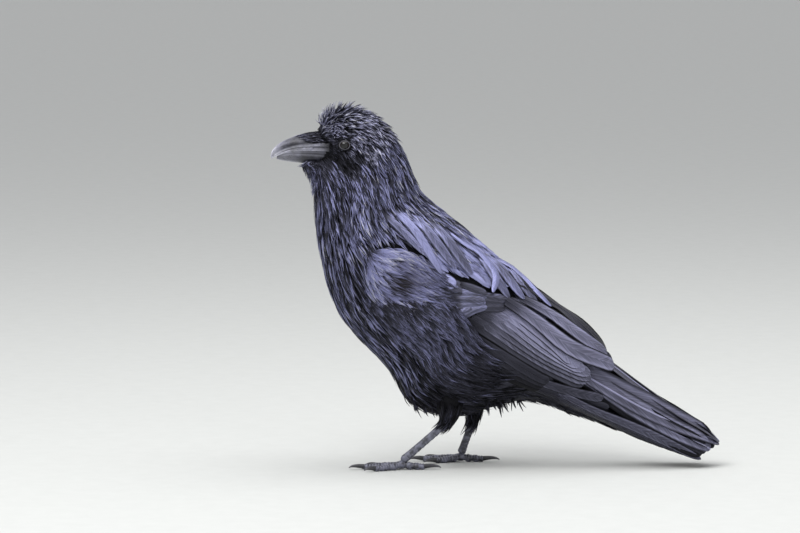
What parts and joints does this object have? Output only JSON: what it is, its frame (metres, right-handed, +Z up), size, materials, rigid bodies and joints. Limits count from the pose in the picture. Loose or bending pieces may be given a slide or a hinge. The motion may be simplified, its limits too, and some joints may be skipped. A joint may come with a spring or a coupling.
{
  "type": "common raven",
  "caption": "Standing common raven, life size, a still model: glossy black bird with wings folded, stout hooked bill and one foot set ahead of the other.",
  "frame": {"origin": "on the floor, under the middle of the bird's bounding box", "axes": "+Z up; the bird faces -Y and its tail points to +Y; +X is the bird's left side"},
  "size_m": [0.1378, 0.5018, 0.4024],
  "materials": {
    "plumage": "black feathers with a violet-blue gloss",
    "flight_feathers": "smooth black vanes with a soft grey-violet sheen",
    "bill_horn": "glossy blue-black horn",
    "claw_horn": "glossy black horn",
    "leg_scales": "satin blue-black scales",
    "eye_brown": "wet, very dark brown"
  },
  "bodies": {
    "root": {"bill_lower": "bill_horn", "bill_upper": "bill_horn", "claw_hind_left": "claw_horn", "claw_hind_right": "claw_horn", "claw_inner_left": "claw_horn", "claw_inner_right": "claw_horn", "claw_middle_left": "claw_horn", "claw_middle_right": "claw_horn", "claw_outer_left": "claw_horn", "claw_outer_right": "claw_horn", "eye_left": "eye_brown", "eye_right": "eye_brown", "foot_left": "leg_scales", "foot_right": "leg_scales", "head": "plumage", "neck": "plumage", "shank_left": "leg_scales", "shank_right": "leg_scales", "tail": "flight_feathers", "thigh_left": "plumage", "thigh_right": "plumage", "trunk": "plumage", "wing_coverts_left": "plumage", "wing_coverts_right": "plumage", "wing_primaries_left": "flight_feathers", "wing_primaries_right": "flight_feathers", "wing_secondaries_left": "flight_feathers", "wing_secondaries_right": "flight_feathers"}
  },
  "joints": []
}
